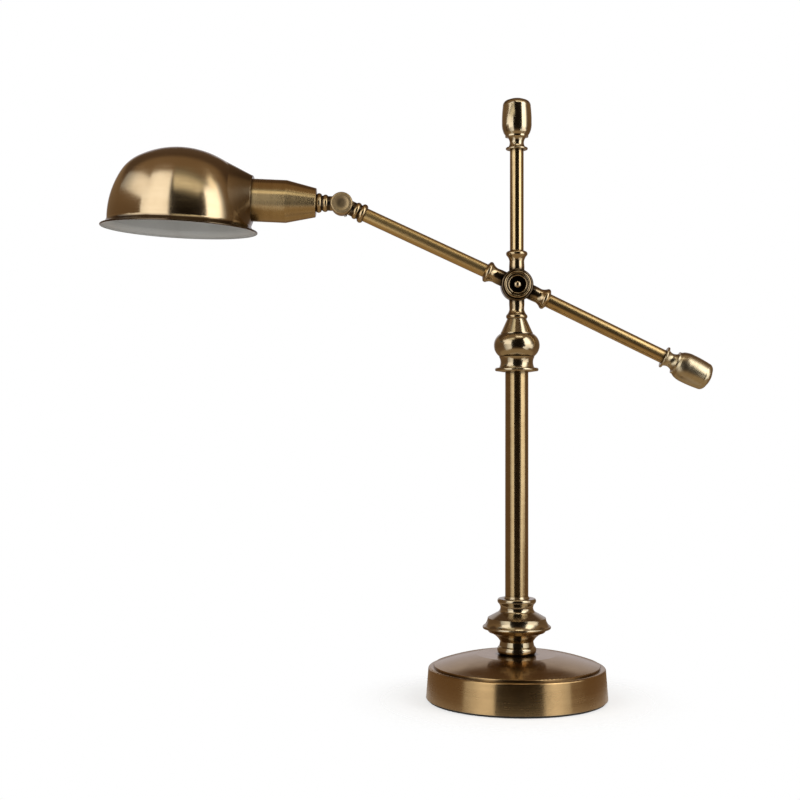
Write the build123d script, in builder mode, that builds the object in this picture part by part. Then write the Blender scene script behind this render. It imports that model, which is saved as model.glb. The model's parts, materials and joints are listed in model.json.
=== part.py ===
from build123d import *
import os
from math import acos, atan2, cos, radians, sin, sqrt

# Desk lamp of antique brass: a weighted base, a column, a mast and a boom that cross at a clamped hub,
# and a tilting head with a helmet shade. Millimetres; the column is the Z axis, the boom lies in the
# XZ plane and the shade points to -X. The underside of the pad is Z = 0.

# Fits, all radial
screw_gap = 0.05
running_gap = 0.05
seat_gap = 0.1
flex_gap = 0.3

# Base: pad, iron weight and spun shell
pad_inset = 1.4
pad_thickness = 1.4
weight_lip_height = 0.8
weight_lip_inset = 0.8
weight_height = 16.0
weight_side_gap = 0.3
base_radius = 90.7
base_taper = 2.2
base_wall_height = 30.6
rim_round = 2.2
rim_ledge = 5.5
step_height = 2.4
step_round = 0.8
plateau_radius = 40.0
dome_rise = 10.4
dome_bulge = 1.2
shell_wall = 1.2

# Cord inlet in the back of the shell
cord_height = 11.0
cord_bore_radius = 3.5
bush_neck_radius = 5.0
bush_neck_length = 2.44
bush_flange_radius = 7.2
bush_flange_height = 1.64
bush_chamfer = 1.1
weight_slot_width = 14.0

# Hollow tie rod, its nuts and washers
rod_radius = 5.0
rod_bore_radius = 3.4
rod_end_length = 0.6
nut_radius = 9.0
nut_height = 5.0
washer_radius = 11.0
washer_thickness = 1.5
nut_pocket_radius = 14.0
nut_pocket_depth = 10.0

# Foot: ring, bowl and cap under the column
foot_ring_radius = 19.6
foot_ring_edge = 17.4
foot_ring_height = 8.4
foot_waist_radius = 16.6
foot_waist_height = 4.5
bowl_radius = 28.0
bowl_rise = 9.2
bowl_hollow = 1.5
bowl_band_radius = 30.8
bowl_band_height = 3.6
lip_radius = 34.1
lip_height = 2.4
lip_round = 0.5
cap_foot_radius = 33.0
cap_shoulder_radius = 29.0
cap_shoulder_height = 8.2
cap_shoulder_hollow = 0.9
cap_neck_radius = 18.6
cap_neck_height = 5.8
cap_waist_radius = 16.3
cap_waist_height = 4.2
cap_waist_hollow = 0.5
cap_flange_radius = 19.3
cap_flange_edge = 18.3
cap_flange_rise = 4.6
cap_flange_height = 4.6
cap_lip_width = 1.3
cap_lip_height = 2.2

# Column tube
column_radius = 11.6
column_wall = 1.2
column_length = 224.0
column_insert = 6.0

# Vase at the head of the column: flange, ball and cone
vase_flange_radius = 21.8
vase_flange_edge = 20.6
vase_flange_foot_width = 1.7
vase_flange_foot_height = 1.0
vase_flange_height = 3.4
vase_cup_radius = 17.8
vase_cup_height = 11.2
vase_cup_hollow = 1.5
vase_boss_radius = 12.5
vase_boss_height = 5.0
ball_radius = 22.9
ball_edge = 17.0
ball_height = 22.6
ball_lip_radius = 16.2
ball_lip_height = 1.3
cone_foot_radius = 15.9
cone_top_radius = 9.6
cone_height = 13.8

# Swivel between the cone and the lower neck
swivel_gap = 0.3
swivel_bush_radius = 7.2
swivel_nipple_room = 0.8
swivel_washer_radius = 8.0
swivel_washer_thickness = 1.2
swivel_nut_radius = 8.4
swivel_nut_height = 4.5
swivel_nipple_end = 0.6

# Hub where the mast and the boom cross, measured out from its centre
hub_radius = 16.2
hub_depth = 9.0
hub_round = 2.4
lap_clearance = 0.5
neck_radius = 7.7
neck_length = 2.8
neck_pinch_radius = 7.4
neck_pinch_length = 5.0
neck_flare_radius = 9.9
neck_flare_length = 5.4
neck_flare_hollow = 0.45
neck_bead_radius = 10.75
neck_bead_length = 4.0
neck_collar_length = 1.6
spigot_length = 8.0

# Tubes of the mast and of the boom
arm_tube_radius = 6.9
arm_tube_wall = 1.0
mast_tube_length = 100.4
front_tube_length = 132.4
rear_tube_length = 128.4
front_rise_deg = 24.9
rear_fall_deg = 26.0

# End weight, the same on the mast (finial) and on the boom (counterweight)
collar_flange_radius = 11.1
collar_flange_edge = 10.4
collar_flange_height = 2.2
collar_flare_radius = 9.0
collar_waist_radius = 7.1
collar_waist_height = 5.2
collar_hollow = 0.5
collar_top_radius = 9.6
collar_top_height = 5.4
barrel_lip_radius = 11.6
barrel_lip_height = 1.6
barrel_shoulder_radius = 13.1
barrel_shoulder_height = 2.4
barrel_swell_radius = 14.9
barrel_swell_height = 9.6
barrel_swell_bulge = 0.55
barrel_end_radius = 14.0
barrel_end_height = 17.0
barrel_end_bulge = 0.3
barrel_crown_radius = 9.0
barrel_crown_height = 6.4
barrel_crown_bulge = 1.5
barrel_crown_rise = 1.9

# Pivot bolt, clamp knob and washers of the hub
bolt_radius = 3.5
bolt_head_radius = 9.0
bolt_head_edge = 1.8
bolt_head_crown = 1.6
bolt_dome_height = 1.6
lap_washer_inset = 2.2
lap_washer_thickness = 0.8
spring_washer_radius = 9.0
spring_washer_thickness = 1.0
spring_washer_proud = 0.3
knob_radius = 13.5
knob_side_height = 3.0
knob_crest = 1.4
knob_ring_width = 2.9
knob_inner_ring_width = 2.4
knob_inner_crest = 1.2
knob_recess_slope = 1.3
knob_recess_depth = 1.9
knob_bead_height = 2.6

# Knuckle that carries the head, measured out from its centre
knuckle_radius = 11.2
knuckle_depth = 8.5
knuckle_round = 1.8
knuckle_dish_inset = 3.8
knuckle_dish_depth = 1.0
knuckle_neck_radius = 7.3
knuckle_neck_length = 2.8
small_bead_radius = 8.7
small_bead_edge = 7.6
small_bead_length = 4.7
bead_groove_length = 1.3
big_bead_radius = 9.8
big_bead_edge = 8.1
big_bead_length = 5.6
knuckle_washer_inset = 1.2
knuckle_screw_radius = 3.0
knuckle_screw_reach = 5.5
knuckle_head_radius = 6.5
knuckle_head_edge = 1.4
knuckle_head_crown = 1.4
knuckle_spring_thickness = 0.8
grub_radius = 1.5
grub_length = 4.5
grub_proud = 1.3
grub_angle_deg = -72.0

# Head: nipple, socket cup, lampholder and bulb
head_pitch_deg = 2.5
nipple_depth = 11.0
nipple_proud = 3.9
cup_nut_radius = 8.4
cup_small_radius = 14.7
cup_small_round = 1.0
cup_floor = 2.0
cup_cone_length = 29.9
cup_radius = 21.3
cup_straight_length = 33.7
cup_wall = 1.2
holder_inset = 2.5
holder_room = 1.7
holder_flange_height = 5.4
holder_step = 1.2
holder_neck_length = 13.8
holder_bore_depth = 29.0
holder_wall = 4.4
holder_flex_depth = 8.0
screw_shell_wall = 0.8
screw_shell_length = 25.0
contact_radius = 4.0
contact_height = 3.0
bulb_gap = 0.3
bulb_cap_length = 26.5
bulb_tip_radius = 4.5
bulb_cap_hollow = 0.9
globe_radius = 22.5
globe_neck_length = 4.22
globe_neck_radius = 11.6
glass_wall = 0.9
flex_radius = 3.1

# Shade
shade_gap = 0.7
shade_drop = 33.0
shade_radius = 71.7
shade_wall = 1.0
shade_wall_height = 10.2
shade_corner_radius = 42.0
shade_corner_deg = 30.0
shade_flare = 6.3
shade_lip_height = 7.4
shade_lip_hollow = 1.5
shade_bead = 1.6
spout_centre_rise = 2.5
spout_sink = 0.4
spout_tip_thinning = 0.4
spout_overhang = 2.7
spout_rim = 0.7
spout_rim_width = 2.4
shade_ring_inset = 2.4
shade_ring_height = 5.0

# Sketch planes: x runs along the axis, y is the radius
quarter = 1 - sqrt(0.5)
column_profile = Plane(origin=(0, 0, 0), x_dir=(0, 0, 1), z_dir=(0, 1, 0))

weight_lip_radius = base_radius - weight_lip_inset
pad_radius = weight_lip_radius - pad_inset
base_rim_radius = base_radius - base_taper
dome_radius = base_rim_radius - rim_ledge
base_bottom = pad_thickness + weight_lip_height
base_rim = base_bottom + base_wall_height
base_dome_edge = base_rim + step_height
base_top = base_dome_edge + dome_rise

foot_ring_top = base_top + foot_ring_height
foot_bowl_bottom = foot_ring_top + foot_waist_height
bowl_band = foot_bowl_bottom + bowl_rise
lip_bottom = bowl_band + bowl_band_height
foot_cap_bottom = lip_bottom + lip_height
cap_shoulder = foot_cap_bottom + cap_shoulder_height
cap_neck = cap_shoulder + cap_neck_height
cap_waist = cap_neck + cap_waist_height
cap_flange = cap_waist + cap_flange_rise
cap_flange_top = cap_flange + cap_flange_height
foot_top = cap_flange_top + cap_lip_height

vase_bottom = foot_top + column_length
vase_flange = vase_bottom + vase_flange_foot_height
vase_flange_top = vase_flange + vase_flange_height
ball_bottom = vase_flange_top + vase_cup_height
ball_lip = ball_bottom + ball_height
cone_bottom = ball_lip + ball_lip_height
cone_top = cone_bottom + cone_height
swivel_face = cone_top + swivel_gap

neck_end = hub_radius + neck_length
neck_pinch = neck_end + neck_pinch_length
neck_flare_end = neck_pinch + neck_flare_length
neck_bead_end = neck_flare_end + neck_bead_length
neck_collar_end = neck_bead_end + neck_collar_length
hub_height = swivel_face + neck_bead_end

rod_bottom = pad_thickness + nut_pocket_depth - washer_thickness - nut_height - rod_end_length
column_nut_bottom = ball_bottom + vase_boss_height
rod_top = column_nut_bottom + nut_height + rod_end_length

arm_bore_radius = arm_tube_radius - arm_tube_wall
spigot_radius = arm_bore_radius - screw_gap
flex_bore_radius = flex_radius + flex_gap
lap_cut_radius = hub_radius + lap_clearance
rod_hole_radius = rod_radius + screw_gap
column_seat_radius = column_radius + seat_gap
cap_lip_radius = column_seat_radius + cap_lip_width
vase_flange_foot_radius = column_seat_radius + vase_flange_foot_width

front_rise = radians(front_rise_deg)
rear_fall = radians(rear_fall_deg)
front_way = Vector(-cos(front_rise), 0, sin(front_rise))
rear_way = Vector(cos(rear_fall), 0, -sin(rear_fall))
hub_point = Vector(0, 0, hub_height)
up_profile = Plane(origin=hub_point, x_dir=(0, 0, 1), z_dir=(0, 1, 0))
down_profile = Plane(origin=hub_point, x_dir=(0, 0, -1), z_dir=(0, 1, 0))
front_profile = Plane(origin=hub_point, x_dir=front_way, z_dir=(0, 1, 0))
rear_profile = Plane(origin=hub_point, x_dir=rear_way, z_dir=(0, 1, 0))
pivot_profile = Plane(origin=hub_point, x_dir=(0, -1, 0), z_dir=(1, 0, 0))

mast_tube_end = neck_collar_end + mast_tube_length
front_tube_end = neck_collar_end + front_tube_length
rear_tube_end = neck_collar_end + rear_tube_length
knuckle_neck_end = knuckle_radius + knuckle_neck_length
small_bead_end = knuckle_neck_end + small_bead_length
big_bead_start = small_bead_end + bead_groove_length
big_bead_end = big_bead_start + big_bead_length
knuckle_reach = front_tube_end + big_bead_end
knuckle_point = hub_point + front_way * knuckle_reach

cup_inside = big_bead_end + cup_floor
nipple_end = cup_inside + nut_height + nipple_proud
cup_cone_end = big_bead_end + cup_cone_length
cup_end = cup_cone_end + cup_straight_length
holder_start = cup_cone_end - holder_inset
holder_mouth = cup_end + holder_neck_length
holder_floor = holder_mouth - holder_bore_depth
shell_start = holder_mouth - screw_shell_length
bulb_cap_start = holder_floor + contact_height
bulb_cap_end = bulb_cap_start + bulb_cap_length
globe_centre = bulb_cap_end + globe_neck_length + sqrt(globe_radius ** 2 - globe_neck_radius ** 2)
holder_radius = cup_radius - cup_wall - holder_room
holder_flange_radius = cup_radius - cup_wall - seat_gap
holder_neck_radius = holder_flange_radius - holder_step
holder_bore_radius = holder_neck_radius - holder_wall
shell_radius = holder_bore_radius - seat_gap
shell_inner_radius = shell_radius - screw_shell_wall
bulb_cap_radius = shell_inner_radius - bulb_gap
spout_radius = cup_radius + spout_overhang
shade_ring_radius = spout_radius - shade_ring_inset
shade_centre = cup_end + shade_gap + shade_radius
lip_out_radius = shade_radius + shade_flare

head_pitch = radians(head_pitch_deg)
head_way = Vector(-cos(head_pitch), 0, sin(head_pitch))
head_up = Vector(sin(head_pitch), 0, cos(head_pitch))
head_profile = Plane(origin=knuckle_point, x_dir=head_way, z_dir=(0, 1, 0))
arm_profile = Plane(origin=knuckle_point, x_dir=-front_way, z_dir=(0, 1, 0))
screw_profile = Plane(origin=knuckle_point, x_dir=(0, -1, 0), z_dir=(1, 0, 0))
rim_point = knuckle_point + head_way * shade_centre - head_up * shade_drop
shade_profile = Plane(origin=rim_point, x_dir=head_up, z_dir=(0, 1, 0))


def outline(profile, points):
    # A closed face through (along, radius) points. A third number swells the run to that point
    # outwards into an arc of that height, and a negative one hollows it.
    with BuildSketch(profile) as face:
        with BuildLine():
            for start, end in zip(points, points[1:] + points[:1]):
                if len(end) == 2:
                    Line(start[:2], end)
                else:
                    run = Vector(end[0] - start[0], end[1] - start[1])
                    side = Vector(-run.Y, run.X).normalized() * end[2]
                    middle = Vector(start[0], start[1]) + run * 0.5 + side
                    ThreePointArc(start[:2], (middle.X, middle.Y), end[:2])
        make_face()
    return face.sketch


def spin(profile):
    return Axis(profile.origin, profile.x_dir)


def crown(radius, height):
    # The bulge of a dome of this radius and height whose centre lies on the axis
    ball = (radius ** 2 + height ** 2) / (2 * height)
    return ball - sqrt(ball ** 2 - (radius ** 2 + height ** 2) / 4)


def ring(start, end, inner, outer):
    return [(start, inner), (start, outer), (end, outer), (end, inner)]


def save(builder, label):
    builder.part.label = label
    export_step(builder.part, f"parts/{label}.step")


def base_points(inset):
    # The outside of the base, or the same line moved in by a wall
    return [
        (base_bottom, 0),
        (base_bottom, base_radius - inset),
        (base_rim - rim_round - inset, base_rim_radius - inset),
        (base_rim - inset, base_rim_radius - rim_round - inset, rim_round * quarter),
        (base_rim - inset, dome_radius - inset),
        (base_dome_edge - step_round - inset, dome_radius - inset),
        (base_dome_edge - inset, dome_radius - step_round - inset, step_round * quarter),
        (base_top - inset, plateau_radius - inset, dome_bulge),
        (base_top - inset, 0),
    ]


def neck_points():
    # One arm of the hub: a straight neck, a pinch, a flare and a bead, to the face of the bead
    return [
        (0, 0),
        (0, neck_radius),
        (neck_end, neck_radius),
        (neck_pinch, neck_pinch_radius),
        (neck_flare_end, neck_flare_radius, -neck_flare_hollow),
        (neck_bead_end, neck_flare_radius, neck_bead_radius - neck_flare_radius),
    ]


def collar_points():
    # The neck's outer end: a sloped collar and the spigot that holds a tube
    return [
        (neck_collar_end, arm_tube_radius),
        (neck_collar_end, spigot_radius),
        (neck_collar_end + spigot_length, spigot_radius),
        (neck_collar_end + spigot_length, 0),
    ]


def beaded_neck():
    # One half of the knuckle: a plain neck and two turned beads
    return [
        (0, 0),
        (0, knuckle_neck_radius),
        (knuckle_neck_end, knuckle_neck_radius),
        (knuckle_neck_end, small_bead_edge),
        (small_bead_end, small_bead_edge, small_bead_radius - small_bead_edge),
        (big_bead_start, knuckle_neck_radius),
        (big_bead_start, big_bead_edge),
        (big_bead_end, big_bead_edge, big_bead_radius - big_bead_edge),
    ]


def hexagon_nut(start, end, radius, hole):
    # A plain nut on the column axis
    with BuildPart() as nut:
        with BuildSketch(Plane.XY.offset(start)):
            RegularPolygon(radius, 6)
            Circle(hole, mode=Mode.SUBTRACT)
        extrude(amount=end - start)
    return nut


def turned(profile, points):
    with BuildPart() as piece:
        revolve(outline(profile, points), axis=spin(profile))
    return piece


os.makedirs("parts", exist_ok=True)

# Base
base_pad = turned(column_profile, [(0, 0), (0, pad_radius), (pad_thickness, pad_radius), (pad_thickness, 0)])
save(base_pad, "base_pad")

wall_lean = base_taper / (base_wall_height - rim_round)
weight_top = pad_thickness + weight_height
weight_radius = base_radius - shell_wall - weight_side_gap
weight_top_radius = weight_radius - wall_lean * (weight_top - base_bottom)
pocket_top = pad_thickness + nut_pocket_depth
bush_seat = base_radius - wall_lean * (cord_height - base_bottom)
bush_slant = abs(wall_lean) * bush_flange_radius
bush_face = bush_seat + bush_slant + bush_flange_height
bush_inner = bush_seat - bush_slant - shell_wall - bush_neck_length
with BuildPart() as base_weight:
    weight_points = [
        (pad_thickness, nut_pocket_radius),
        (pad_thickness, weight_lip_radius),
        (base_bottom, weight_lip_radius),
        (base_bottom, weight_radius),
        (weight_top, weight_top_radius),
        (weight_top, rod_hole_radius),
        (pocket_top, rod_hole_radius),
        (pocket_top, nut_pocket_radius),
    ]
    revolve(outline(column_profile, weight_points), axis=Axis.Z)
    with BuildSketch(Plane.XY.offset(pad_thickness)):
        with Locations((0, nut_pocket_radius)):
            Rectangle(weight_slot_width, bush_face, align=(Align.CENTER, Align.MIN))
    extrude(amount=weight_height, mode=Mode.SUBTRACT)
save(base_weight, "base_weight")

cord_plane = Plane(origin=(0, 0, cord_height), x_dir=(1, 0, 0), z_dir=(0, 1, 0))
with BuildPart() as base_shell:
    revolve(outline(column_profile, base_points(0)), axis=Axis.Z)
    revolve(outline(column_profile, base_points(shell_wall)), axis=Axis.Z, mode=Mode.SUBTRACT)
    with BuildSketch(Plane.XY.offset(base_top)):
        Circle(rod_hole_radius)
    extrude(amount=-2 * shell_wall, mode=Mode.SUBTRACT)
    with BuildSketch(cord_plane):
        Circle(bush_neck_radius)
    extrude(amount=bush_face, mode=Mode.SUBTRACT)
save(base_shell, "base_shell")

with BuildPart() as cord_bush:
    with BuildSketch(cord_plane.offset(bush_inner)):
        Circle(bush_flange_radius)
    extrude(amount=bush_face - bush_inner)
    chamfer(edges().sort_by(Axis.Y)[-1], bush_chamfer)
    revolve(outline(column_profile, base_points(0)), axis=Axis.Z, mode=Mode.SUBTRACT)
    with BuildSketch(cord_plane.offset(bush_inner)):
        Circle(bush_neck_radius - screw_gap)
    extrude(amount=bush_seat + bush_slant - bush_inner)
    with BuildSketch(cord_plane):
        Circle(cord_bore_radius)
    extrude(amount=bush_face, mode=Mode.SUBTRACT)
save(cord_bush, "cord_bush")

washer_bottom = pocket_top - washer_thickness
base_washer = turned(column_profile, ring(washer_bottom, pocket_top, rod_hole_radius, washer_radius))
save(base_washer, "base_washer")
base_nut = hexagon_nut(washer_bottom - nut_height, washer_bottom, nut_radius, rod_hole_radius)
save(base_nut, "base_nut")
tie_rod = turned(column_profile, ring(rod_bottom, rod_top, rod_bore_radius, rod_radius))
save(tie_rod, "tie_rod")
column_flex = turned(column_profile, ring(rod_bottom, rod_top, 0, rod_bore_radius - flex_gap))
save(column_flex, "column_flex")

# Foot
foot_ring_points = [
    (base_top, rod_hole_radius),
    (base_top, foot_ring_edge),
    (foot_ring_top, foot_ring_edge, foot_ring_radius - foot_ring_edge),
    (foot_bowl_bottom, foot_waist_radius),
    (foot_bowl_bottom, rod_hole_radius),
]
foot_ring = turned(column_profile, foot_ring_points)
save(foot_ring, "foot_ring")

foot_bowl_points = [
    (foot_bowl_bottom, rod_hole_radius),
    (foot_bowl_bottom, foot_waist_radius),
    (bowl_band, bowl_radius, -bowl_hollow),
    (lip_bottom, bowl_band_radius),
    (lip_bottom, lip_radius - lip_round),
    (foot_cap_bottom, lip_radius - lip_round, lip_round),
    (foot_cap_bottom, rod_hole_radius),
]
foot_bowl = turned(column_profile, foot_bowl_points)
save(foot_bowl, "foot_bowl")

foot_cap_points = [
    (foot_cap_bottom, rod_hole_radius),
    (foot_cap_bottom, cap_foot_radius),
    (cap_shoulder, cap_shoulder_radius, -cap_shoulder_hollow),
    (cap_neck, cap_neck_radius),
    (cap_waist, cap_waist_radius, -cap_waist_hollow),
    (cap_flange, cap_flange_edge, -cap_waist_hollow),
    (cap_flange_top, cap_flange_edge, cap_flange_radius - cap_flange_edge),
    (cap_flange_top, cap_lip_radius),
    (foot_top, column_seat_radius),
    (foot_top - column_insert, column_seat_radius),
    (foot_top - column_insert, rod_hole_radius),
]
foot_cap = turned(column_profile, foot_cap_points)
save(foot_cap, "foot_cap")

# Column and vase
column_start = foot_top - column_insert
column_end = vase_bottom + column_insert
column_bore_radius = column_radius - column_wall
column_tube = turned(column_profile, ring(column_start, column_end, column_bore_radius, column_radius))
save(column_tube, "column_tube")

vase_flange_points = [
    (vase_bottom, column_seat_radius),
    (vase_bottom, vase_flange_foot_radius),
    (vase_flange, vase_flange_edge),
    (vase_flange_top, vase_flange_edge, vase_flange_radius - vase_flange_edge),
    (vase_flange_top, vase_cup_radius),
    (ball_bottom, vase_cup_radius, -vase_cup_hollow),
    (ball_bottom, vase_boss_radius),
    (column_nut_bottom, vase_boss_radius),
    (column_nut_bottom, rod_hole_radius),
    (column_end, rod_hole_radius),
    (column_end, column_seat_radius),
]
vase_flange_part = turned(column_profile, vase_flange_points)
save(vase_flange_part, "vase_flange")
column_nut = hexagon_nut(column_nut_bottom, column_nut_bottom + nut_height, nut_radius, rod_hole_radius)
save(column_nut, "column_nut")

vase_bore_radius = vase_boss_radius + screw_gap
vase_ball_points = [
    (ball_bottom, vase_bore_radius),
    (ball_bottom, ball_edge),
    (ball_lip, ball_edge, ball_radius - ball_edge),
    (ball_lip, ball_lip_radius),
    (cone_bottom, ball_lip_radius),
    (cone_bottom, vase_bore_radius),
]
vase_ball = turned(column_profile, vase_ball_points)
save(vase_ball, "vase_ball")

cone_boss_bottom = cone_bottom - vase_boss_height
cone_bore_radius = swivel_bush_radius + screw_gap
vase_cone_points = [
    (cone_boss_bottom, cone_bore_radius),
    (cone_boss_bottom, vase_boss_radius),
    (cone_bottom, vase_boss_radius),
    (cone_bottom, cone_foot_radius),
    (cone_top, cone_top_radius),
    (cone_top, cone_bore_radius),
]
vase_cone = turned(column_profile, vase_cone_points)
save(vase_cone, "vase_cone")

# Swivel: a bush in the cone, and the nipple, washer and nut that turn with the mast
nipple_run_radius = rod_radius + running_gap
swivel_bush_points = ring(cone_boss_bottom, swivel_face, nipple_run_radius, swivel_bush_radius)
swivel_bush = turned(column_profile, swivel_bush_points)
save(swivel_bush, "swivel_bush")

swivel_nut_top = cone_boss_bottom - swivel_washer_thickness
swivel_nut_bottom = swivel_nut_top - swivel_nut_height
nipple_bottom = swivel_nut_bottom - swivel_nipple_end
nipple_top = hub_height - lap_cut_radius - swivel_nipple_room
swivel_nipple = turned(column_profile, ring(nipple_bottom, nipple_top, rod_bore_radius, rod_radius))
save(swivel_nipple, "swivel_nipple")
swivel_washer_points = ring(swivel_nut_top, cone_boss_bottom, rod_hole_radius, swivel_washer_radius)
swivel_washer = turned(column_profile, swivel_washer_points)
save(swivel_washer, "swivel_washer")
swivel_nut = hexagon_nut(swivel_nut_bottom, swivel_nut_top, swivel_nut_radius, rod_hole_radius)
save(swivel_nut, "swivel_nut")

# Hub: the mast keeps the front half of the lap and the boom the back half
lap_face = lap_washer_thickness / 2
bolt_hole_radius = bolt_radius + running_gap
front_lap = Plane(origin=hub_point - Vector(0, lap_face, 0), x_dir=(1, 0, 0), z_dir=(0, -1, 0))
rear_lap = Plane(origin=hub_point + Vector(0, lap_face, 0), x_dir=(1, 0, 0), z_dir=(0, 1, 0))
lap_reach = 2 * hub_depth
spring_floor = hub_depth - spring_washer_thickness + spring_washer_proud

with BuildPart() as mast_hub:
    revolve(outline(up_profile, neck_points() + collar_points()), axis=Axis.Z)
    revolve(outline(down_profile, neck_points() + [(neck_bead_end, 0)]), axis=Axis.Z)
    revolve(outline(pivot_profile, ring(0, hub_depth, 0, hub_radius)), axis=spin(pivot_profile))
    fillet(edges().filter_by(GeomType.CIRCLE).sort_by(Axis.Y)[0], hub_round)
    with BuildSketch(front_lap):
        Circle(lap_cut_radius)
    extrude(amount=-lap_reach, mode=Mode.SUBTRACT)
    with BuildSketch(front_lap):
        Circle(bolt_hole_radius)
    extrude(amount=hub_depth, mode=Mode.SUBTRACT)
    spring_pocket = ring(spring_floor, 2 * hub_depth, 0, spring_washer_radius + seat_gap)
    revolve(outline(pivot_profile, spring_pocket), axis=spin(pivot_profile), mode=Mode.SUBTRACT)
    nipple_socket = ring(swivel_face, nipple_top, 0, rod_hole_radius)
    revolve(outline(column_profile, nipple_socket), axis=Axis.Z, mode=Mode.SUBTRACT)
save(mast_hub, "mast_hub")

boom_flex_start = neck_end
with BuildPart() as boom_hub:
    for way in (front_profile, rear_profile):
        revolve(outline(way, neck_points() + collar_points()), axis=spin(way))
    revolve(outline(pivot_profile, ring(-hub_depth, 0, 0, hub_radius)), axis=spin(pivot_profile))
    fillet(edges().filter_by(GeomType.CIRCLE).sort_by(Axis.Y)[-1], hub_round)
    with BuildSketch(rear_lap):
        Circle(lap_cut_radius)
    extrude(amount=-lap_reach, mode=Mode.SUBTRACT)
    with BuildSketch(rear_lap):
        Circle(bolt_radius + screw_gap)
    extrude(amount=hub_depth, mode=Mode.SUBTRACT)
    flex_bore = ring(boom_flex_start, neck_collar_end + spigot_length, 0, flex_bore_radius)
    revolve(outline(front_profile, flex_bore), axis=spin(front_profile), mode=Mode.SUBTRACT)
save(boom_hub, "boom_hub")

lap_washer_radius = hub_radius - lap_washer_inset
lap_washer = turned(pivot_profile, ring(-lap_face, lap_face, bolt_hole_radius, lap_washer_radius))
save(lap_washer, "lap_washer")
spring_end = spring_floor + spring_washer_thickness
spring_washer = turned(pivot_profile, ring(spring_floor, spring_end, bolt_hole_radius, spring_washer_radius))
save(spring_washer, "spring_washer")

knob_top = spring_end + knob_side_height
knob_floor = knob_top - knob_recess_depth
bead_top = knob_floor + knob_bead_height
pivot_bolt_points = [
    (-hub_depth - bolt_head_edge - bolt_head_crown, 0),
    (-hub_depth - bolt_head_edge, bolt_head_radius, crown(bolt_head_radius, bolt_head_crown)),
    (-hub_depth, bolt_head_radius),
    (-hub_depth, bolt_radius),
    (bead_top - bolt_dome_height, bolt_radius),
    (bead_top, 0, crown(bolt_radius, bolt_dome_height)),
]
pivot_bolt = turned(pivot_profile, pivot_bolt_points)
save(pivot_bolt, "pivot_bolt")

knob_groove_radius = knob_radius - knob_ring_width
knob_inner_ring_radius = knob_groove_radius - knob_inner_ring_width
knob_recess_radius = knob_inner_ring_radius - knob_recess_slope
clamp_knob_points = [
    (spring_end, bolt_hole_radius),
    (spring_end, knob_radius - knob_crest),
    (knob_top, knob_radius, knob_crest / 4),
    (knob_top, knob_groove_radius, knob_crest),
    (knob_top, knob_inner_ring_radius, knob_inner_crest),
    (knob_floor, knob_recess_radius),
    (knob_floor, bolt_hole_radius),
]
clamp_knob = turned(pivot_profile, clamp_knob_points)
save(clamp_knob, "clamp_knob")

# Tubes
tubes = [
    ("mast_tube", up_profile, mast_tube_end),
    ("front_boom_tube", front_profile, front_tube_end),
    ("rear_boom_tube", rear_profile, rear_tube_end),
]
for label, way, tube_end in tubes:
    save(turned(way, ring(neck_collar_end, tube_end, arm_bore_radius, arm_tube_radius)), label)

# End weights
collar_waist = collar_flange_height + collar_waist_height
collar_top = collar_waist + collar_top_height
barrel_lip = collar_top + barrel_lip_height
barrel_shoulder = barrel_lip + barrel_shoulder_height
barrel_swell = barrel_shoulder + barrel_swell_height
barrel_end = barrel_swell + barrel_end_height
barrel_crown = barrel_end + barrel_crown_height
peg_end = collar_top + spigot_length
collar_shape = [
    (-spigot_length, 0),
    (-spigot_length, spigot_radius),
    (0, spigot_radius),
    (0, collar_flange_edge),
    (collar_flange_height, collar_flange_edge, collar_flange_radius - collar_flange_edge),
    (collar_flange_height, collar_flare_radius),
    (collar_waist, collar_waist_radius, -collar_hollow),
    (collar_top, collar_top_radius, -collar_hollow),
    (collar_top, rod_radius),
    (peg_end, rod_radius),
    (peg_end, 0),
]
barrel_shape = [
    (collar_top, rod_hole_radius),
    (collar_top, barrel_lip_radius),
    (barrel_lip, barrel_lip_radius),
    (barrel_shoulder, barrel_shoulder_radius),
    (barrel_swell, barrel_swell_radius, barrel_swell_bulge),
    (barrel_end, barrel_end_radius, barrel_end_bulge),
    (barrel_crown, barrel_crown_radius, barrel_crown_bulge),
    (barrel_crown + barrel_crown_rise, 0, crown(barrel_crown_radius, barrel_crown_rise)),
    (peg_end + seat_gap, 0),
    (peg_end + seat_gap, rod_hole_radius),
]
ends = [
    ("finial", up_profile, mast_tube_end),
    ("counterweight", rear_profile, rear_tube_end),
]
for label, way, seat in ends:
    end_profile = Plane(origin=hub_point + way.x_dir * seat, x_dir=way.x_dir, z_dir=way.z_dir)
    save(turned(end_profile, collar_shape), f"{label}_collar")
    save(turned(end_profile, barrel_shape), label)

# Knuckle: the boom keeps the back half of the lap and the head the front half
knuckle_cut_radius = knuckle_radius + lap_clearance
knuckle_dish_radius = knuckle_radius - knuckle_dish_inset
knuckle_front = Plane(origin=knuckle_point - Vector(0, lap_face, 0), x_dir=(1, 0, 0), z_dir=(0, -1, 0))
knuckle_rear = Plane(origin=knuckle_point + Vector(0, lap_face, 0), x_dir=(1, 0, 0), z_dir=(0, 1, 0))
knuckle_spigot_end = big_bead_end + spigot_length
grub_angle = radians(grub_angle_deg)
grub_way = Vector(cos(grub_angle), 0, sin(grub_angle))
grub_seat = knuckle_point + Vector(0, knuckle_depth / 2, 0)
grub_start = knuckle_radius + grub_proud - grub_length
grub_profile = Plane(origin=grub_seat, x_dir=grub_way, z_dir=(0, 1, 0))

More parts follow.
